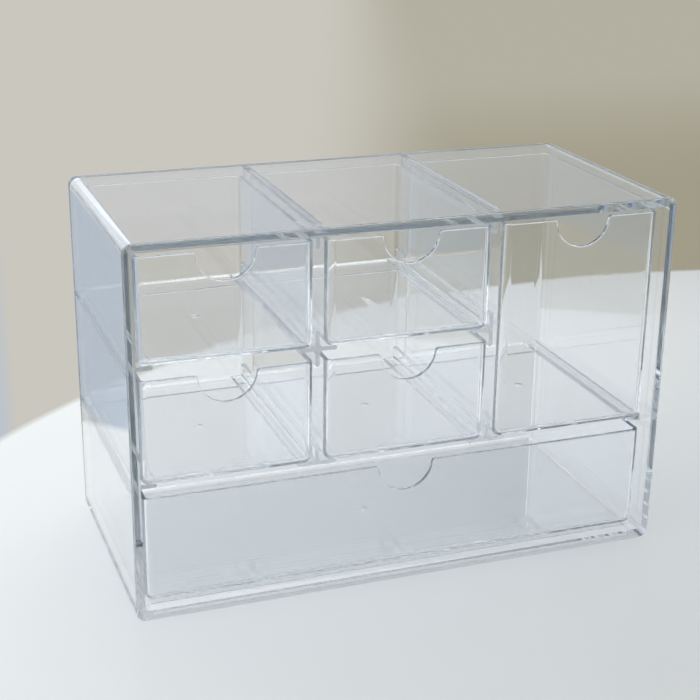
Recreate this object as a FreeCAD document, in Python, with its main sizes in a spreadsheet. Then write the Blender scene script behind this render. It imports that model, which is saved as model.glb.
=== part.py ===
import FreeCAD, Part
import os
import re

import Sketcher

# Clear desktop organizer: a moulded case, open at the front, with guide rails that reach forward from its
# back wall and carry six open-topped drawers. Four small drawers fill the left and middle columns, one
# tall drawer fills the right column, and one wide drawer runs below them. The case stands on a low rim.
#
# Shared frame: +Z up, the drawers open towards -Y, and the origin is at the middle of the base on the
# surface that the rim stands on. Each body is drawn from its own lower left front corner.

os.makedirs("parts", exist_ok=True)

doc = FreeCAD.newDocument("DrawerOrganizer")

# ---------------------------------------------------------------- driving dimensions, in millimetres
sizes = {
    "case_width": 240,
    "case_depth": 116,
    "case_height": 161.5,
    "case_wall": 3.7,
    "case_corner": 4,
    "case_back_edge": 3,
    "case_front_edge": 0.8,
    "case_inner_corner": 1.5,
    "stand_rim": 8,
    "stand_height": 1.1,
    "bottom_bay": 51,
    "rail_thickness": 1.8,
    "rail_root": 1.2,
    "shelf_reach": 8.6,
    "blade_reach": 7.7,
    "rail_setback": 9,
    "front_recess": 5,
    "drawer_wall": 2,
    "side_clearance": 1.6,
    "rest_clearance": 0.3,
    "head_clearance": 3.3,
    "back_clearance": 2,
    "belly_corner": 4.5,
    "end_corner": 3.2,
    "rim_edge": 0.4,
    "notch_radius": 12.4,
    "notch_lip": 1.2,
    "gate_radius": 2,
    "gate_depth": 0.4,
}

# Sizes that follow from the driving ones. Each may use the names above it.
derived = {
    "floor_level": "stand_height + case_wall",
    "roof_level": "case_height - case_wall",
    "bay_width": "(case_width - 2 * case_wall - 2 * rail_thickness) / 3",
    "upper_bay": "(roof_level - floor_level - 2 * rail_thickness - bottom_bay) / 2",
    "bay_pitch": "bay_width + rail_thickness",
    "low_rail": "floor_level + bottom_bay + rail_thickness / 2",
    "mid_rail": "low_rail + upper_bay + rail_thickness",
    "shelf_end": "shelf_reach - rail_thickness / 2",
    "blade_end": "blade_reach - rail_thickness / 2",
    "first_rail": "case_wall + bay_width + rail_thickness / 2",
    "second_rail": "first_rail + bay_pitch",
    "drawer_width": "bay_width - 2 * side_clearance",
    "wide_drawer_width": "case_width - 2 * case_wall - 2 * side_clearance",
    "drawer_depth": "case_depth - case_wall - front_recess - back_clearance",
    "small_height": "upper_bay - rest_clearance - head_clearance",
    "tall_height": "2 * upper_bay + rail_thickness - rest_clearance - head_clearance",
    "wide_height": "bottom_bay - rest_clearance - head_clearance",
    "drawer_left": "case_wall + side_clearance",
    "bottom_rest": "floor_level + rest_clearance",
    "low_rest": "low_rail + rail_thickness / 2 + rest_clearance",
    "mid_rest": "mid_rail + rail_thickness / 2 + rest_clearance",
}

sheet = doc.addObject("Spreadsheet::Sheet", "Sizes")
for row, (alias, value) in enumerate(sizes.items(), start=1):
    sheet.set(f"A{row}", alias)
    sheet.set(f"B{row}", str(value))
    sheet.setAlias(f"B{row}", alias)
doc.recompute()


def sized(text):
    """Write an expression out in full, with every size taken from the sheet."""

    def full(word):
        name = word.group()
        if name in derived:
            return "(" + sized(derived[name]) + ")"
        return "Sizes." + name

    return re.sub(r"[a-z_]+", full, text)


def bind(item, **texts):
    """Bind properties to size expressions."""
    for prop, text in texts.items():
        item.setExpression(prop, sized(text))


def value(text):
    """The number that a size expression has now."""
    return float(sheet.evalExpression(sized(text)))


# ---------------------------------------------------------------- sketch and feature helpers
def newBody(label):
    body = doc.addObject("PartDesign::Body", label)
    body.Label = label
    return body


def place(body, left, front, base):
    """Stand a body's lower left front corner at a point of the shared frame."""
    body.setExpression("Placement.Base.x", sized(left))
    body.setExpression("Placement.Base.y", sized(front))
    body.setExpression("Placement.Base.z", sized(base))


def sketchOn(body, name, role, offset="0"):
    """A sketch on one of the body's own origin planes, moved along the plane's normal."""
    sketch = body.newObject("Sketcher::SketchObject", name)
    plane = [item for item in body.Origin.OriginFeatures if item.Role == role][0]
    sketch.AttachmentSupport = [(plane, "")]
    sketch.MapMode = "FlatFace"
    if offset != "0":
        sketch.setExpression("AttachmentOffset.Base.z", sized(offset))
    return sketch


def fix(sketch, line, across, up):
    """Hold a line's first end at two distances from the sketch's origin."""
    origin, acrossAxis, upAxis = -1, -1, -2
    for text, kind, axis in ((across, "DistanceX", upAxis), (up, "DistanceY", acrossAxis)):
        if text == "0":
            sketch.addConstraint(Sketcher.Constraint("PointOnObject", line, 1, axis))
            continue
        size = Sketcher.Constraint(kind, origin, 1, line, 1, value(text))
        index = sketch.addConstraint(size)
        sketch.renameConstraint(index, f"corner{line}{kind}")
        sketch.setExpression(f"Constraints.corner{line}{kind}", sized(text))


def rectangle(sketch, left, low, right, high):
    """A closed rectangle between two opposite corners."""
    corners = [(left, low), (right, low), (right, high), (left, high)]
    points = [FreeCAD.Vector(value(across), value(up), 0) for across, up in corners]
    first = sketch.GeometryCount
    for step in range(4):
        sketch.addGeometry(Part.LineSegment(points[step], points[(step + 1) % 4]), False)
    for step in range(4):
        sketch.addConstraint(Sketcher.Constraint("Coincident", first + step, 2, first + (step + 1) % 4, 1))
    for step, (across, up) in enumerate(corners):
        fix(sketch, first + step, across, up)


def circle(sketch, across, up, radius, number=0):
    """A circle with its centre at two distances from the sketch's origin. A number tells it from others."""
    centre = FreeCAD.Vector(value(across), value(up), 0)
    ring = sketch.addGeometry(Part.Circle(centre, FreeCAD.Vector(0, 0, 1), value(radius)), False)
    for name, kind, text in (("across", "DistanceX", across), ("up", "DistanceY", up)):
        index = sketch.addConstraint(Sketcher.Constraint(kind, -1, 1, ring, 3, value(text)))
        sketch.renameConstraint(index, f"{name}{number}")
        sketch.setExpression(f"Constraints.{name}{number}", sized(text))
    index = sketch.addConstraint(Sketcher.Constraint("Radius", ring, value(radius)))
    sketch.renameConstraint(index, f"radius{number}")
    sketch.setExpression(f"Constraints.radius{number}", sized(radius))


def pad(body, name, sketch, length, backwards=False):
    item = body.newObject("PartDesign::Pad", name)
    item.Profile = sketch
    item.Reversed = backwards
    bind(item, Length=length)
    doc.recompute()
    return item


def pocket(body, name, sketch, length, backwards=False):
    """Cut a sketch away from the body, and stop if the cut points away from the solid."""
    before = body.Shape.Volume
    item = body.newObject("PartDesign::Pocket", name)
    item.Profile = sketch
    item.Reversed = backwards
    bind(item, Length=length)
    doc.recompute()
    if item.Shape.Volume > before - 0.01:
        raise RuntimeError(f"{name} cuts nothing")
    return item


def edgesWhere(item, wanted):
    """Names of the edges whose bounding box passes a test."""
    return [f"Edge{index}" for index, edge in enumerate(item.Shape.Edges, 1) if wanted(edge.BoundBox)]


def fillet(body, name, base, radius, wanted):
    item = body.newObject("PartDesign::Fillet", name)
    item.Base = (base, edgesWhere(base, wanted))
    bind(item, Radius=radius)
    doc.recompute()
    return item


def near(first, second):
    return abs(first - second) < 0.01


def liesAtY(box, depth):
    return near(box.YMin, depth) and near(box.YMax, depth)


def runsAlongY(box):
    return box.YLength > 1 and box.XLength < 0.01 and box.ZLength < 0.01


# ---------------------------------------------------------------- case
def makeCase():
    body = newBody("case_shell")
    width, depth = value("case_width"), value("case_depth")
    floor, roof = value("floor_level"), value("roof_level")

    front = sketchOn(body, "case_outline", "XZ_Plane")
    rectangle(front, "0", "0", "case_width", "case_height")
    block = pad(body, "case_block", front, "case_depth", backwards=True)
    rounded = fillet(body, "case_long_edges", block, "case_corner", runsAlongY)
    rounded = fillet(body, "case_back_edges", rounded, "case_back_edge", lambda box: liesAtY(box, depth))
    fillet(body, "case_front_edges", rounded, "case_front_edge", lambda box: liesAtY(box, 0))

    # The underside is hollowed a little, so that the case stands on a rim.
    underside = sketchOn(body, "underside_outline", "XY_Plane")
    rectangle(underside, "stand_rim", "stand_rim", "case_width - stand_rim", "case_depth - stand_rim")
    pocket(body, "underside", underside, "stand_height", backwards=True)

    # The cavity goes in from the front and leaves the back wall.
    mouth = sketchOn(body, "cavity_outline", "XZ_Plane")
    rectangle(mouth, "case_wall", "floor_level", "case_width - case_wall", "roof_level")
    cavity = pocket(body, "cavity", mouth, "case_depth - case_wall")
    wall = value("case_wall")

    def insideCorner(box):
        atSide = near(box.XMin, wall) or near(box.XMin, width - wall)
        return runsAlongY(box) and atSide and (near(box.ZMin, floor) or near(box.ZMin, roof))

    fillet(body, "cavity_corners", cavity, "case_inner_corner", insideCorner)

    # Level parts of the rails and ledges, on which the drawers slide. Each starts inside the back wall.
    inBack, railLength = "case_wall / 2 - case_depth", "case_depth - rail_setback - case_wall / 2"
    half = "rail_thickness / 2"
    levelParts = (
        ("case_wall / 2", "case_wall + shelf_end", "mid_rail"),
        ("first_rail - shelf_end", "first_rail + shelf_end", "mid_rail"),
        ("second_rail - shelf_end", "second_rail", "mid_rail"),
        ("case_wall / 2", "case_wall + shelf_end", "low_rail"),
        ("first_rail - shelf_end", "first_rail + shelf_end", "low_rail"),
        ("second_rail - shelf_end", "second_rail + shelf_end", "low_rail"),
        ("case_width - case_wall - shelf_end", "case_width - case_wall / 2", "low_rail"),
    )
    shelves = sketchOn(body, "shelf_outlines", "XZ_Plane", inBack)
    tips = []
    for left, right, level in levelParts:
        rectangle(shelves, left, f"{level} - {half}", right, f"{level} + {half}")
        tips += [(across, level) for across in (left, right) if "shelf_end" in across]
    pad(body, "shelves", shelves, railLength)

    # Upright parts: they keep neighbouring drawers apart, and two short ones hang from the top.
    uprights = (
        ("mid_rail - blade_end", "mid_rail + blade_end"),
        ("low_rail - rail_thickness / 2", "low_rail + blade_end"),
        ("roof_level - blade_end", "case_height - case_wall / 2"),
    )
    blades = sketchOn(body, "blade_outlines", "XZ_Plane", inBack)
    for across in ("first_rail", "second_rail"):
        for low, high in uprights:
            rectangle(blades, f"{across} - {half}", low, f"{across} + {half}", high)
            tips += [(across, level) for level in (low, high) if "blade_end" in level]
    pad(body, "blades", blades, railLength)

    # The free edges of the rails are round, and the angles between their parts are filled a little.
    rounds = sketchOn(body, "tip_outlines", "XZ_Plane", inBack)
    for number, (across, level) in enumerate(tips):
        circle(rounds, across, level, half, number)
    rails = pad(body, "rail_tips", rounds, railLength)

    def isNear(number, others):
        return any(near(number, other) for other in others)

    thin = value(half)
    middles = [value("first_rail"), value("second_rail")]
    levels = [value("low_rail"), value("mid_rail")]
    besideBlades = [middle + side * thin for middle in middles for side in (-1, 1)]
    besideShelves = [level + side * thin for level in levels for side in (-1, 1)]

    def rootEdge(box):
        atBlade = isNear(box.XMin, besideBlades) and isNear(box.ZMin, besideShelves + [roof])
        atWall = isNear(box.XMin, [wall, width - wall]) and isNear(box.ZMin, besideShelves)
        return runsAlongY(box) and (atBlade or atWall)

    fillet(body, "rail_roots", rails, "rail_root", rootEdge)

    place(body, "-case_width / 2", "-case_depth / 2", "0")
    return body


# ---------------------------------------------------------------- drawers
def makeDrawer(label, width, height, left, base):
    """An open-topped box with a rounded belly and a half-round finger notch in its front wall."""
    body = newBody(label)
    depth, tall = value("drawer_depth"), value(height)

    front = sketchOn(body, label + "_outline", "XZ_Plane")
    rectangle(front, "0", "0", width, height)
    block = pad(body, label + "_block", front, "drawer_depth", backwards=True)

    def bellyEdge(box):
        return runsAlongY(box) and near(box.ZMin, 0)

    def endEdge(box):
        atEnd = liesAtY(box, 0) or liesAtY(box, depth)
        return atEnd and not near(box.ZMin, tall)

    rounded = fillet(body, label + "_belly", block, "belly_corner", bellyEdge)
    rounded = fillet(body, label + "_ends", rounded, "end_corner", endEdge)

    faces = enumerate(rounded.Shape.Faces, 1)
    tops = [f"Face{index}" for index, face in faces if near(face.BoundBox.ZMin, tall)]
    hollow = body.newObject("PartDesign::Thickness", label + "_hollow")
    hollow.Base = (rounded, tops)
    hollow.Reversed = True
    hollow.Join = "Intersection"
    bind(hollow, Value="drawer_wall")
    doc.recompute()

    finger = sketchOn(body, label + "_notch_outline", "XZ_Plane")
    circle(finger, f"({width}) / 2", height, "notch_radius")
    notch = pocket(body, label + "_notch", finger, "2 * drawer_wall")
    middle, reach = value(width) / 2, value("notch_radius")

    def lipEdge(box):
        return runsAlongY(box) and near(box.ZMin, tall) and near(abs(box.XMin - middle), reach)

    lips = fillet(body, label + "_notch_lips", notch, "notch_lip", lipEdge)

    def rimEdge(box):
        return near(box.ZMin, tall) and near(box.ZMax, tall) and not runsAlongY(box)

    fillet(body, label + "_rim", lips, "rim_edge", rimEdge)

    # The mark where the plastic entered the mould, in the middle of the underside.
    gate = sketchOn(body, label + "_gate_outline", "XY_Plane")
    circle(gate, f"({width}) / 2", "drawer_depth / 2", "gate_radius")
    pocket(body, label + "_gate", gate, "gate_depth", backwards=True)

    place(body, f"{left} - case_width / 2", "front_recess - case_depth / 2", base)
    return body


subParts = [makeCase()]

columns = {"left": "drawer_left", "middle": "drawer_left + bay_pitch", "right": "drawer_left + 2 * bay_pitch"}
for level, base in (("upper", "mid_rest"), ("lower", "low_rest")):
    for column in ("left", "middle"):
        label = f"drawer_{level}_{column}"
        subParts.append(makeDrawer(label, "drawer_width", "small_height", columns[column], base))
subParts.append(makeDrawer("drawer_tall_right", "drawer_width", "tall_height", columns["right"], "low_rest"))
wideDrawer = ("drawer_bottom_wide", "wide_drawer_width", "wide_height", "drawer_left", "bottom_rest")
subParts.append(makeDrawer(*wideDrawer))

doc.recompute()

# ---------------------------------------------------------------- checks and export
for item in doc.Objects:
    if "Invalid" in item.State or "Error" in item.State:
        raise RuntimeError(f"{item.Label} failed: {item.State}")

for body in subParts:
    if body.Shape.isNull() or not body.Shape.isValid():
        raise RuntimeError(f"{body.Label} has no valid shape")
    if len(body.Shape.Solids) != 1:
        raise RuntimeError(f"{body.Label} is {len(body.Shape.Solids)} solids")

for body in subParts:
    body.Shape.exportStep(f"parts/{body.Label}.step")
    box = body.Shape.BoundBox
    print(f"{body.Label}: {box.XMin:.2f}..{box.XMax:.2f} {box.YMin:.2f}..{box.YMax:.2f} "
          f"{box.ZMin:.2f}..{box.ZMax:.2f} volume {body.Shape.Volume / 1000:.2f} cm3")
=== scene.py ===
import math

import bmesh
import bpy
from mathutils import Matrix, Vector


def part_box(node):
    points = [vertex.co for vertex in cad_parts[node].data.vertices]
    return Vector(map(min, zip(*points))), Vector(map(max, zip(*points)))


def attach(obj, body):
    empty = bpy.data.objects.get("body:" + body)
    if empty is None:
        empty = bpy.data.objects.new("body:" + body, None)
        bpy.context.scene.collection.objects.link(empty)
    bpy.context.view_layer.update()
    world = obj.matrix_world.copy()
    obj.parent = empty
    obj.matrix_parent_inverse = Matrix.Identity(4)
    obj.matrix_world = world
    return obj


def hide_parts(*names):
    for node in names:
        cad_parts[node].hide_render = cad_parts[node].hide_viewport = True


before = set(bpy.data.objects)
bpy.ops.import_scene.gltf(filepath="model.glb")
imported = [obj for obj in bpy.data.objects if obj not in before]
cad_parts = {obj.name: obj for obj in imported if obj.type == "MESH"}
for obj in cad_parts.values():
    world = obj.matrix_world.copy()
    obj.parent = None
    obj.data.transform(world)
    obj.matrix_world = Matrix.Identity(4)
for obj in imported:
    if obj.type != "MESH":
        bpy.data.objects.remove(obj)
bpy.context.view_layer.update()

mm = 0.001


# ---- camera ----
view = {
    "lens": 75.97,
    "sensor": 36,
    "turn": 20.327,  # degrees, from the front towards the left wall
    "height": 20.35,  # degrees above the table
    "roll": 0.7507,
    "distance": 665.2,
    "target": (-6.84, -0.2, 86.4),
    "nearest": 10,
    "farthest": 50000,
}


def makeCamera():
    turn, height, roll = (math.radians(view[k]) for k in ("turn", "height", "roll"))
    flat = math.cos(height)
    forward = Vector((math.sin(turn) * flat, math.cos(turn) * flat, -math.sin(height)))
    level = Vector((math.cos(turn), -math.sin(turn), 0))
    upright = level.cross(forward)
    right = math.cos(roll) * level + math.sin(roll) * upright
    up = -math.sin(roll) * level + math.cos(roll) * upright
    place = (Vector(view["target"]) - view["distance"] * forward) * mm
    data = bpy.data.cameras.new("camera")
    data.lens, data.sensor_width = view["lens"], view["sensor"]
    data.clip_start, data.clip_end = view["nearest"] * mm, view["farthest"] * mm
    camera = bpy.data.objects.new("camera", data)
    turned = Matrix((right, up, -forward)).transposed().to_4x4()
    camera.matrix_world = Matrix.Translation(place) @ turned
    bpy.context.scene.collection.objects.link(camera)
    bpy.context.scene.camera = camera


makeCamera()
print("camera placed")


# ---- node helpers ----
def newNode(tree, kind, inputs=None, **settings):
    node = tree.nodes.new(kind)
    for name, value in settings.items():
        setattr(node, name, value)
    for key, value in (inputs or {}).items():
        feed(tree, node.inputs[key], value)
    return node


def feed(tree, socket, value):
    if isinstance(value, Wire):
        value = value.socket
    if isinstance(value, bpy.types.NodeSocket):
        tree.links.new(value, socket)
    else:
        socket.default_value = value


class Wire:  # a socket that reads as a number, so that sizes are written as plain formulas
    def __init__(self, tree, socket):
        self.tree, self.socket = tree, socket

    def math(self, operation, *others, clamp=False):
        node = self.tree.nodes.new("ShaderNodeMath")
        node.operation, node.use_clamp = operation, clamp
        for place, value in enumerate((self, *others)):
            feed(self.tree, node.inputs[place], value)
        return Wire(self.tree, node.outputs[0])

    def __add__(self, other):
        return self.math("ADD", other)

    def __sub__(self, other):
        return self.math("SUBTRACT", other)

    def __mul__(self, other):
        return self.math("MULTIPLY", other)

    def __truediv__(self, other):
        return self.math("DIVIDE", other)

    def __rsub__(self, other):
        return (self * -1.0) + other

    __radd__, __rmul__ = __add__, __mul__

    def share(self, start, steps):  # 0 up to the step called start, 1 from steps later on
        return (self - float(start)).math("DIVIDE", float(steps), clamp=True)

    def limit(self, reach):  # held between -reach and reach
        return self.math("MINIMUM", reach).math("MAXIMUM", reach * -1.0)


def split(tree, vector):
    node = newNode(tree, "ShaderNodeSeparateXYZ", {0: vector})
    return [Wire(tree, output) for output in node.outputs]


def join(tree, x, y, z):
    return newNode(tree, "ShaderNodeCombineXYZ", {0: x, 1: y, 2: z}).outputs[0]


def vectorMath(tree, operation, *values):
    node = newNode(tree, "ShaderNodeVectorMath", operation=operation)
    for place, value in enumerate(values):
        feed(tree, node.inputs["Scale" if operation == "SCALE" and place == 1 else place], value)
    return node.outputs[0]


# ---- clear plastic ----
plastic = {
    "ior": 1.59,
    "caseTint": (0.992, 0.997, 1.0),
    "drawerTint": (0.994, 0.998, 1.0),
    "depthColour": (0.66, 0.70, 0.73),  # what is left of white light deep in a wall
    "caseDepth": 10.5,  # density per metre
    "drawerDepth": 9.5,
    "lampsThrough": (0.978, 0.982, 0.987),  # lamp light that passes each face
    "caseWaves": 26.0,  # ripples per metre, more or less
    "drawerWaves": 34.0,
    "waveDepth": 1.0,
    "bumpHeight": 0.02,
    "caseScratches": 0.15,
    "drawerScratches": 0.2,
    "smudge": 0.015,
    "polish": 0.0,
    "dustShade": 0.985,
}


def groupTree(name, inputs, outputs):
    tree = bpy.data.node_groups.new(name, "ShaderNodeTree")
    for label, kind, value in inputs:
        tree.interface.new_socket(name=label, in_out="INPUT", socket_type=kind).default_value = value
    for label, kind in outputs:
        tree.interface.new_socket(name=label, in_out="OUTPUT", socket_type=kind)
    return tree, tree.nodes.new("NodeGroupInput").outputs, tree.nodes.new("NodeGroupOutput").inputs


def makeMouldWaves():  # the slow ripple that a cooling wall keeps, and the fine scratches of use
    number = "NodeSocketFloat"
    tree, given, out = groupTree(
        "mouldWaves",
        [("Wave Size", number, 30.0), ("Wave Depth", number, 1.0), ("Scratch Amount", number, 0.1)],
        [("Height", number)],
    )
    place = newNode(tree, "ShaderNodeTexCoord").outputs["Object"]
    waves = newNode(tree, "ShaderNodeTexNoise", {
        "Vector": place, "Scale": given["Wave Size"], "Detail": 1.0, "Roughness": 0.4})
    stretched = newNode(tree, "ShaderNodeMapping", {
        "Vector": place, "Rotation": (0.3, 0.5, 0.7), "Scale": (9.0, 140.0, 9.0)}).outputs[0]
    scratches = newNode(tree, "ShaderNodeTexNoise", {"Vector": stretched, "Scale": 14.0, "Detail": 3.0})
    lines = newNode(tree, "ShaderNodeMapRange", {0: scratches.outputs["Fac"], 1: 0.66, 2: 0.74}).outputs[0]
    height = Wire(tree, waves.outputs["Fac"]) * given["Wave Depth"]
    feed(tree, out["Height"], height - Wire(tree, lines) * given["Scratch Amount"])
    return tree


def makeHandlingDust():  # faint dust and fingerprints, which make the polish a little dull
    number = "NodeSocketFloat"
    tree, given, out = groupTree(
        "handlingDust",
        [("Smudge Size", number, 22.0), ("Smudge Amount", number, 0.05), ("Polish", number, 0.01)],
        [("Roughness", number), ("Mask", number)],
    )
    place = newNode(tree, "ShaderNodeTexCoord").outputs["Object"]
    smudges = newNode(tree, "ShaderNodeTexNoise", {
        "Vector": place, "Scale": given["Smudge Size"], "Detail": 5.0, "Roughness": 0.6})
    patches = newNode(tree, "ShaderNodeMapRange", {0: smudges.outputs["Fac"], 1: 0.5, 2: 0.8})
    mask = Wire(tree, patches.outputs[0])
    feed(tree, out["Roughness"], mask * given["Smudge Amount"] + given["Polish"])
    feed(tree, out["Mask"], mask)
    return tree


mouldWaves, handlingDust = makeMouldWaves(), makeHandlingDust()


def makeClearPlastic(name, piece):
    tint, density = plastic[piece + "Tint"], plastic[piece + "Depth"]
    material = bpy.data.materials.new(name)
    material.use_nodes = True
    tree = material.node_tree
    tree.nodes.clear()
    waves = newNode(tree, "ShaderNodeGroup", node_tree=mouldWaves)
    dust = newNode(tree, "ShaderNodeGroup", node_tree=handlingDust)
    waves.inputs["Wave Size"].default_value = plastic[piece + "Waves"]
    waves.inputs["Wave Depth"].default_value = plastic["waveDepth"]
    waves.inputs["Scratch Amount"].default_value = plastic[piece + "Scratches"]
    dust.inputs["Smudge Amount"].default_value = plastic["smudge"]
    dust.inputs["Polish"].default_value = plastic["polish"]
    bump = newNode(tree, "ShaderNodeBump", {
        "Height": waves.outputs["Height"], "Strength": 1.0, "Distance": plastic["bumpHeight"] * mm})
    dusty = tuple(channel * plastic["dustShade"] for channel in tint)
    shade = newNode(tree, "ShaderNodeMix", data_type="RGBA")
    feed(tree, shade.inputs["Factor"], dust.outputs["Mask"])
    feed(tree, shade.inputs[6], (*tint, 1))
    feed(tree, shade.inputs[7], (*dusty, 1))
    clear = newNode(tree, "ShaderNodeBsdfPrincipled", {
        "Base Color": shade.outputs[2], "Roughness": dust.outputs["Roughness"], "IOR": plastic["ior"],
        "Transmission Weight": 1.0, "Normal": bump.outputs["Normal"]})
    letThrough = newNode(tree, "ShaderNodeBsdfTransparent", {"Color": (*plastic["lampsThrough"], 1)})
    path = newNode(tree, "ShaderNodeLightPath")
    # light on its way to the table and back goes straight through, so that the shadow stays soft
    unbent = Wire(tree, path.outputs["Is Shadow Ray"]).math("MAXIMUM", path.outputs["Is Diffuse Ray"])
    mixed = newNode(tree, "ShaderNodeMixShader", {0: unbent, 1: clear.outputs[0], 2: letThrough.outputs[0]})
    depth = newNode(tree, "ShaderNodeVolumeAbsorption", {
        "Color": (*plastic["depthColour"], 1), "Density": density})
    newNode(tree, "ShaderNodeOutputMaterial", {"Surface": mixed.outputs[0], "Volume": depth.outputs[0]})
    return material


clearCase = makeClearPlastic("clearCase", "case")
clearDrawer = makeClearPlastic("clearDrawer", "drawer")


# ---- drawers ----
drawer = {
    "wall": 2.0,
    "corner": 4.0,  # outer radius of the belly and the upright corners
    "notchRadius": 12.4,
    "notchLip": 1.2,
    "rimEdge": 0.4,
    "gateRadius": 2.0,  # the round mark under the floor
    "gateDepth": 0.5,
    "arcSteps": 6,  # to each half of a right-angled corner
    "notchSteps": 20,
    "lipSteps": 5,
    "wallRows": 2,
    "gateSteps": 32,
    "roundingSteps": 3,
    "sharpTurn": 0.9,  # radians between two faces, above which an edge is rounded
    "joinedWithin": 0.001,
}
drawerNames = {
    "upperLeftDrawer": "drawer_upper_left",
    "upperMiddleDrawer": "drawer_upper_middle",
    "lowerLeftDrawer": "drawer_lower_left",
    "lowerMiddleDrawer": "drawer_lower_middle",
    "tallRightDrawer": "drawer_tall_right",
    "bottomWideDrawer": "drawer_bottom_wide",
}


def makeDrawerTree():
    arc, rows = drawer["arcSteps"], drawer["wallRows"]
    notchSteps, lipSteps = drawer["notchSteps"], drawer["lipSteps"]
    tree = bpy.data.node_groups.new("drawerShell", "GeometryNodeTree")
    number = "NodeSocketFloat"
    labels = ("Width", "Depth", "Height", "Wall", "Corner", "Notch Radius", "Notch Lip", "Gate Radius",
              "Gate Depth")
    for label in labels:
        tree.interface.new_socket(name=label, in_out="INPUT", socket_type=number)
    tree.interface.new_socket(name="Place", in_out="INPUT", socket_type="NodeSocketVector")
    tree.interface.new_socket(name="Material", in_out="INPUT", socket_type="NodeSocketMaterial")
    tree.interface.new_socket(name="Geometry", in_out="OUTPUT", socket_type="NodeSocketGeometry")
    given = tree.nodes.new("NodeGroupInput").outputs
    size = {label: Wire(tree, given[label]) for label in labels}
    halfWidth, halfDepth, tall = size["Width"] * 0.5, size["Depth"] * 0.5, size["Height"]
    corner, reach, lip = size["Corner"], size["Notch Radius"], size["Notch Lip"]

    # a box of square cells, whose steps are counted from its middle
    across, along, up = notchSteps + lipSteps + 1 + arc, 1 + arc, arc + rows
    cells = newNode(tree, "GeometryNodeMeshCube", {
        "Size": (2 * across, 2 * along, up), "Vertices X": 2 * across + 1, "Vertices Y": 2 * along + 1,
        "Vertices Z": up + 1})
    facing = split(tree, newNode(tree, "GeometryNodeInputNormal").outputs[0])
    openTop = newNode(tree, "GeometryNodeDeleteGeometry", {
        "Geometry": cells.outputs["Mesh"], "Selection": facing[2].math("GREATER_THAN", 0.5)}, domain="FACE")

    stepX, stepY, stepZ = split(tree, newNode(tree, "GeometryNodeInputPosition").outputs[0])
    s, sy, sz = stepX.math("ABSOLUTE"), stepY.math("ABSOLUTE"), stepZ + up / 2
    lean = (lip / (reach + lip)).math("ARCSINE")  # where the notch's arc meets its lip
    sweep = math.pi / 2 - lean
    turn = sweep * s.share(0, notchSteps)
    lipTurn = (math.pi - lean) - sweep * s.share(notchSteps, lipSteps)
    notchX = reach * turn.math("SINE") + lip * (lipTurn.math("COSINE") + lean.math("COSINE"))
    drop = reach * turn.math("COSINE") - lip * (lipTurn.math("SINE") - lean.math("SINE"))
    lipEnd = (reach + lip) * lean.math("COSINE")
    fromMiddle = (notchX + (halfWidth - corner - lipEnd) * s.share(notchSteps + lipSteps, 1)
                  + corner * (s.share(across - arc, arc) * (math.pi / 4)).math("TANGENT"))
    x = fromMiddle * stepX.math("SIGN")
    y = ((halfDepth - corner) * sy.share(0, 1)
         + corner * (sy.share(1, arc) * (math.pi / 4)).math("TANGENT")) * stepY.math("SIGN")
    onFront = stepY.math("LESS_THAN", 0.5 - along)
    rim = tall - drop * onFront
    z = (corner * (1.0 - ((1.0 - sz.share(0, arc)) * (math.pi / 4)).math("TANGENT"))
         + (rim - corner) * sz.share(arc, rows))
    core = join(tree, x.limit(halfWidth - corner), y.limit(halfDepth - corner), z.math("MAXIMUM", corner))
    outward = vectorMath(tree, "NORMALIZE", vectorMath(tree, "SUBTRACT", join(tree, x, y, z), core))
    core = vectorMath(tree, "ADD", core, given["Place"])
    outside = vectorMath(tree, "ADD", core, vectorMath(tree, "SCALE", outward, corner))
    inside = vectorMath(tree, "ADD", core, vectorMath(tree, "SCALE", outward, corner - size["Wall"]))

    # the outer skin, and an inner skin whose edge strip closes the rim
    skin = newNode(tree, "GeometryNodeSetPosition", {"Geometry": openTop.outputs[0], "Position": outside})
    doubled = newNode(tree, "GeometryNodeExtrudeMesh", {
        "Mesh": openTop.outputs[0], "Offset Scale": 0.0, "Individual": False}, mode="FACES")
    either = newNode(tree, "GeometryNodeSwitch", input_type="VECTOR")
    feed(tree, either.inputs[0], doubled.outputs["Top"])
    feed(tree, either.inputs[1], outside)
    feed(tree, either.inputs[2], inside)
    lining = newNode(tree, "GeometryNodeSetPosition", {"Geometry": doubled.outputs["Mesh"],
                                                       "Position": either.outputs[0]})
    turned = newNode(tree, "GeometryNodeFlipFaces", {"Mesh": lining.outputs[0]})
    both = newNode(tree, "GeometryNodeJoinGeometry")
    tree.links.new(skin.outputs[0], both.inputs[0])
    tree.links.new(turned.outputs[0], both.inputs[0])
    shell = newNode(tree, "GeometryNodeMergeByDistance", {
        "Geometry": both.outputs[0], "Distance": drawer["joinedWithin"] * mm})

    # the rim's edges get their rounding later, by this weight
    edgeTurn = Wire(tree, newNode(tree, "GeometryNodeInputMeshEdgeAngle").outputs["Unsigned Angle"])
    height = split(tree, newNode(tree, "GeometryNodeInputPosition").outputs[0])[2]
    level = split(tree, given["Place"])[2]
    sharp = edgeTurn.math("GREATER_THAN", drawer["sharpTurn"])
    sharp = sharp * height.math("GREATER_THAN", level + corner * 1.5)
    marked = newNode(tree, "GeometryNodeStoreNamedAttribute", {
        "Geometry": shell.outputs[0], "Name": "bevel_weight_edge", "Value": sharp}, data_type="FLOAT",
        domain="EDGE")

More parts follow.
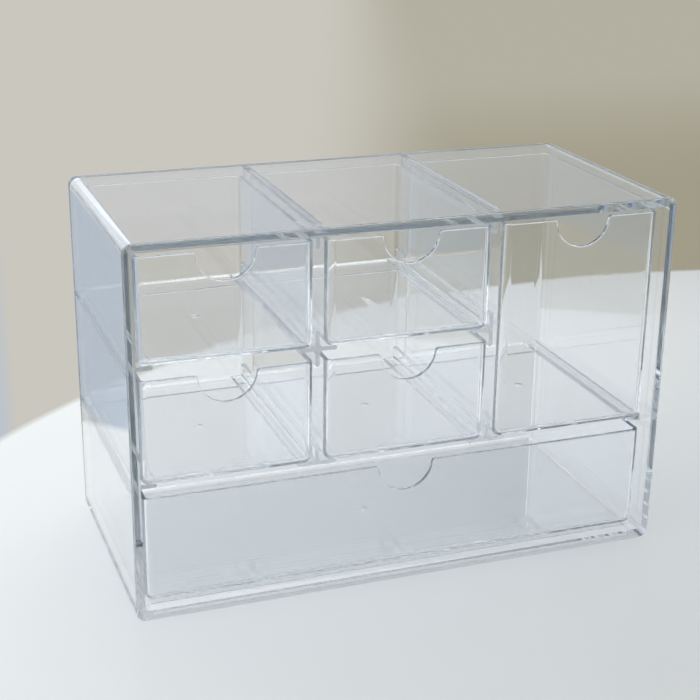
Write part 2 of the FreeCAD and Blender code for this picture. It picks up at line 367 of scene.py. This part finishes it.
    # the mark where the plastic entered the mould
    stud = newNode(tree, "GeometryNodeMeshCylinder", {
        "Vertices": drawer["gateSteps"], "Radius": given["Gate Radius"], "Depth": size["Gate Depth"] * 2.0})
    studAt = newNode(tree, "GeometryNodeTransform", {
        "Geometry": stud.outputs["Mesh"], "Translation": given["Place"]})
    cut = newNode(tree, "GeometryNodeMeshBoolean", {
        "Mesh 1": marked.outputs[0], "Mesh 2": studAt.outputs[0]}, operation="DIFFERENCE", solver="EXACT")
    smooth = newNode(tree, "GeometryNodeSetShadeSmooth", {
        "Geometry": cut.outputs["Mesh"], "Shade Smooth": True})
    real = newNode(tree, "GeometryNodeRealizeInstances", {"Geometry": smooth.outputs[0]})
    painted = newNode(tree, "GeometryNodeSetMaterial", {
        "Geometry": real.outputs[0], "Material": given["Material"]})
    out = tree.nodes.new("NodeGroupOutput")
    tree.links.new(painted.outputs[0], out.inputs["Geometry"])
    return tree


def setInputs(modifier, values):
    for item in modifier.node_group.interface.items_tree:
        if item.item_type == "SOCKET" and item.in_out == "INPUT" and item.name in values:
            modifier[item.identifier] = values[item.name]


def plainMesh(maker, name):
    depsgraph = bpy.context.evaluated_depsgraph_get()
    mesh = bpy.data.meshes.new_from_object(maker.evaluated_get(depsgraph), preserve_all_data_layers=True,
                                           depsgraph=depsgraph)
    mesh.name = name
    bpy.data.objects.remove(maker)
    piece = bpy.data.objects.new(name, mesh)
    bpy.context.scene.collection.objects.link(piece)
    return piece


drawerTree = makeDrawerTree()


def makeDrawer(name, node):
    low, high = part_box(node)
    maker = bpy.data.objects.new("drawerMaker", bpy.data.meshes.new("drawerMaker"))
    bpy.context.scene.collection.objects.link(maker)
    shell = maker.modifiers.new("drawerShell", "NODES")
    shell.node_group = drawerTree
    setInputs(shell, {
        "Width": high.x - low.x, "Depth": high.y - low.y, "Height": high.z - low.z,
        "Wall": drawer["wall"] * mm, "Corner": drawer["corner"] * mm,
        "Notch Radius": drawer["notchRadius"] * mm, "Notch Lip": drawer["notchLip"] * mm,
        "Gate Radius": drawer["gateRadius"] * mm, "Gate Depth": drawer["gateDepth"] * mm,
        "Material": clearDrawer, "Place": ((low.x + high.x) / 2, (low.y + high.y) / 2, low.z)})
    rounding = maker.modifiers.new("rimRounding", "BEVEL")
    rounding.limit_method, rounding.width = "WEIGHT", drawer["rimEdge"] * mm
    rounding.segments = drawer["roundingSteps"]
    shading = maker.modifiers.new("flatWalls", "WEIGHTED_NORMAL")
    shading.weight, shading.keep_sharp = 100, False
    piece = plainMesh(maker, name)
    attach(piece, node)
    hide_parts(node)
    return piece


for drawerName, drawerNode in drawerNames.items():
    made = makeDrawer(drawerName, drawerNode)
    print(drawerName, len(made.data.polygons), "faces")


# ---- case ----
case = {
    "edgeRounding": 0.35,
    "edgeAngle": 50,  # degrees between two faces, above which an edge is rounded
    "flatWithin": 0.5,  # degrees, below which two faces become one
    "joinedWithin": 0.001,
    "roundingSteps": 2,
}


def makeCase():
    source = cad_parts["case_shell"].data
    work = bmesh.new()
    work.from_mesh(source)
    bmesh.ops.remove_doubles(work, verts=work.verts, dist=case["joinedWithin"] * mm)
    flat = math.radians(case["flatWithin"])
    bmesh.ops.dissolve_limit(work, angle_limit=flat, verts=work.verts, edges=work.edges)
    mesh = bpy.data.meshes.new("caseMaker")
    work.to_mesh(mesh)
    work.free()
    mesh.materials.clear()
    mesh.materials.append(clearCase)
    for face in mesh.polygons:
        face.use_smooth, face.material_index = True, 0
    maker = bpy.data.objects.new("caseMaker", mesh)
    bpy.context.scene.collection.objects.link(maker)
    rounding = maker.modifiers.new("edgeRounding", "BEVEL")
    rounding.limit_method, rounding.angle_limit = "ANGLE", math.radians(case["edgeAngle"])
    rounding.width, rounding.segments = case["edgeRounding"] * mm, case["roundingSteps"]
    shading = maker.modifiers.new("flatWalls", "WEIGHTED_NORMAL")
    shading.weight, shading.keep_sharp = 100, False
    piece = plainMesh(maker, "caseMoulding")
    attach(piece, "case")
    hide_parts("case_shell")
    return piece


made = makeCase()
print("caseMoulding", len(made.data.polygons), "faces")


# ---- table, room and lamps ----
room = {
    "tableCentre": (250, -260),
    "tableRadius": 570,
    "tableEdge": 3,
    "tableColour": (0.80, 0.82, 0.82),
    "tableRoughness": 0.32,
    "tableGloss": 0.5,
    "floorReach": 6000,
    # the ground beyond the table, which glows with painted light of its own: brighter to the left, darker to
    # the right
    "groundLeft": (0.59, 0.57, 0.515),
    "groundRight": (0.36, 0.335, 0.25),
    "groundFar": (0.455, 0.435, 0.36),
    "groundCool": (0.46, 0.535, 0.64),
    # the walls that the plastic mirrors, before the parts below are laid over them
    "walls": (0.63, 0.65, 0.68),
    "ceilingLamp": (5.0, 5.05, 5.1),
    "lowSides": (0.16, 0.165, 0.18),
    "lowBack": (1.0, 1.02, 1.05),
    # even light on everything
    "fillColour": (0.98, 0.99, 1.0),
    "fillStrength": 0.33,
}
# each part covers the earlier ones where the direction's x, y or z passes from the first value to the second
roomParts = {
    "rightWall": ("x", 0.25, 0.5, (0.52, 0.53, 0.52)),
    "leftWindow": ("x", -0.12, -0.3, (1.25, 1.33, 1.45)),
    "rightWindow": ("x", 0.68, 0.76, (1.7, 1.72, 1.75)),
    "ceiling": ("z", 0.54, 0.62, (0.35, 0.36, 0.38)),
    "front": ("y", 0.1, -0.3, (0.15, 0.16, 0.18)),
}
lamps = {
    "windowLamp": {"place": (-750, -200, 450), "target": (0, 0, 0), "size": (500, 400), "power": 4.9,
                   "colour": (0.96, 0.985, 1.0), "mirrored": False},
    "backLamp": {"place": (30, 270, 400), "target": (20, 120, 0), "size": (600, 200), "power": 1.35,
                 "colour": (0.97, 0.99, 1.0), "mirrored": False},
    "rightLamp": {"place": (900, 700, 600), "target": (200, 200, 0), "size": (100, 800), "power": 0.8,
                  "colour": (1.0, 0.99, 0.97), "mirrored": True},
}


def blend(tree, factor, low, high):
    node = newNode(tree, "ShaderNodeMix", data_type="RGBA")
    feed(tree, node.inputs["Factor"], factor)
    for socket, value in ((6, low), (7, high)):
        feed(tree, node.inputs[socket], (*value, 1) if isinstance(value, tuple) else value)
    return node.outputs[2]


def between(tree, value, low, high):
    return newNode(tree, "ShaderNodeMapRange", {0: value, 1: low, 2: high},
                   interpolation_type="SMOOTHSTEP").outputs[0]


def makeFloor():
    reach = room["floorReach"] * mm
    mesh = bpy.data.meshes.new("floor")
    corners = [(-reach, -reach, 0), (reach, -reach, 0), (reach, reach, 0), (-reach, reach, 0)]
    mesh.from_pydata(corners, [], [(0, 1, 2, 3)])
    floor = bpy.data.objects.new("floor", mesh)
    bpy.context.scene.collection.objects.link(floor)
    material = bpy.data.materials.new("paleTable")
    material.use_nodes = True
    tree = material.node_tree
    tree.nodes.clear()
    place = newNode(tree, "ShaderNodeTexCoord").outputs["Object"]
    x, y = split(tree, place)[:2]
    centre = (room["tableCentre"][0] * mm, room["tableCentre"][1] * mm, 0)
    away = newNode(tree, "ShaderNodeVectorMath", {0: place, 1: centre}, operation="DISTANCE")
    radius, edge = room["tableRadius"] * mm, room["tableEdge"] * mm
    past = newNode(tree, "ShaderNodeMapRange", {
        0: away.outputs["Value"], 1: radius - edge, 2: radius + edge}).outputs[0]
    grain = newNode(tree, "ShaderNodeTexNoise", {"Vector": place, "Scale": 6.0, "Detail": 4.0})
    cloud = newNode(tree, "ShaderNodeMapRange", {0: grain.outputs["Fac"], 3: 0.97, 4: 1.03}).outputs[0]
    tinted = newNode(tree, "ShaderNodeVectorMath", {0: room["tableColour"]}, operation="SCALE")
    feed(tree, tinted.inputs["Scale"], cloud)
    finish = newNode(tree, "ShaderNodeBsdfPrincipled", {
        "Base Color": tinted.outputs[0], "Roughness": room["tableRoughness"],
        "Specular IOR Level": room["tableGloss"]})
    # what lies beyond the table, shaded by metres from the case; it glows as painted light instead of being
    # lit, brighter to the left and darker to the right, with a cool blue patch far left for the case's left
    # wall to mirror
    ground = blend(tree, between(tree, y, 0.5, 1.1), room["groundRight"], room["groundFar"])
    ground = blend(tree, between(tree, x - y * 0.36, -0.06, 0.12), room["groundLeft"], ground)
    ground = blend(tree, between(tree, x - y * 0.11, -0.152, -0.17), ground, room["groundCool"])
    # painted light: the ground shines by emission, not by the lamps
    glow = newNode(tree, "ShaderNodeEmission", {"Color": ground, "Strength": 1.0})
    mixed = newNode(tree, "ShaderNodeMixShader", {0: past, 1: finish.outputs[0], 2: glow.outputs[0]})
    newNode(tree, "ShaderNodeOutputMaterial", {"Surface": mixed.outputs[0]})
    mesh.materials.append(material)


def makeRoom():
    world = bpy.data.worlds.new("room")
    bpy.context.scene.world = world
    world.use_nodes = True
    tree = world.node_tree
    tree.nodes.clear()
    x, y, z = split(tree, newNode(tree, "ShaderNodeTexCoord").outputs["Generated"])
    parts = {"x": x, "y": y, "z": z}
    seen = room["walls"]
    for part, first, second, colour in roomParts.values():
        seen = blend(tree, between(tree, parts[part], first, second), seen, colour)
    # a lamp across the ceiling gives the rims their white lines
    strip = Wire(tree, between(tree, y / z, -0.3, -0.2)) * between(tree, y / z, 0.25, 0.15)
    strip = strip * z.math("GREATER_THAN", 0.5)
    seen = blend(tree, strip, seen, room["ceilingLamp"])
    # a bright low band behind gives the case's far edges theirs
    low = blend(tree, between(tree, y, 0.6, 0.75), room["lowSides"], room["lowBack"])
    seen = blend(tree, between(tree, z, 0.17, 0.08), seen, low)
    path = newNode(tree, "ShaderNodeLightPath")
    shown = Wire(tree, path.outputs["Is Camera Ray"]).math("MAXIMUM", path.outputs["Is Glossy Ray"])
    shown = shown.math("MAXIMUM", path.outputs["Is Transmission Ray"])
    light = newNode(tree, "ShaderNodeBackground", {
        "Color": (*room["fillColour"], 1), "Strength": room["fillStrength"]})
    picture = newNode(tree, "ShaderNodeBackground", {"Color": seen, "Strength": 1.0})
    mixed = newNode(tree, "ShaderNodeMixShader", {0: shown, 1: light.outputs[0], 2: picture.outputs[0]})
    newNode(tree, "ShaderNodeOutputWorld", {"Surface": mixed.outputs[0]})


def makeLamp(name, lamp):
    data = bpy.data.lights.new(name, "AREA")
    data.shape = "RECTANGLE"
    data.size, data.size_y = (length * mm for length in lamp["size"])
    data.energy, data.color = lamp["power"], lamp["colour"]
    place, target = Vector(lamp["place"]) * mm, Vector(lamp["target"]) * mm
    made = bpy.data.objects.new(name, data)
    made.location = place
    made.visible_camera = False
    made.visible_glossy = made.visible_transmission = lamp["mirrored"]
    made.rotation_mode = "QUATERNION"
    made.rotation_quaternion = (target - place).to_track_quat("-Z", "Y")
    bpy.context.scene.collection.objects.link(made)


makeFloor()
makeRoom()
for lampName, lampValues in lamps.items():
    makeLamp(lampName, lampValues)
print("table, room and lamps ready")

# light bounces many times inside clear walls, and too few bounces leave black outlines
bounces = {"walls": 160, "unbent": 96}
scene = bpy.context.scene
scene.view_settings.view_transform = "Standard"
scene.cycles.max_bounces = bounces["walls"]
scene.cycles.transmission_bounces = bounces["walls"]
scene.cycles.glossy_bounces = bounces["walls"]
scene.cycles.transparent_max_bounces = bounces["unbent"]
scene.cycles.caustics_reflective = False
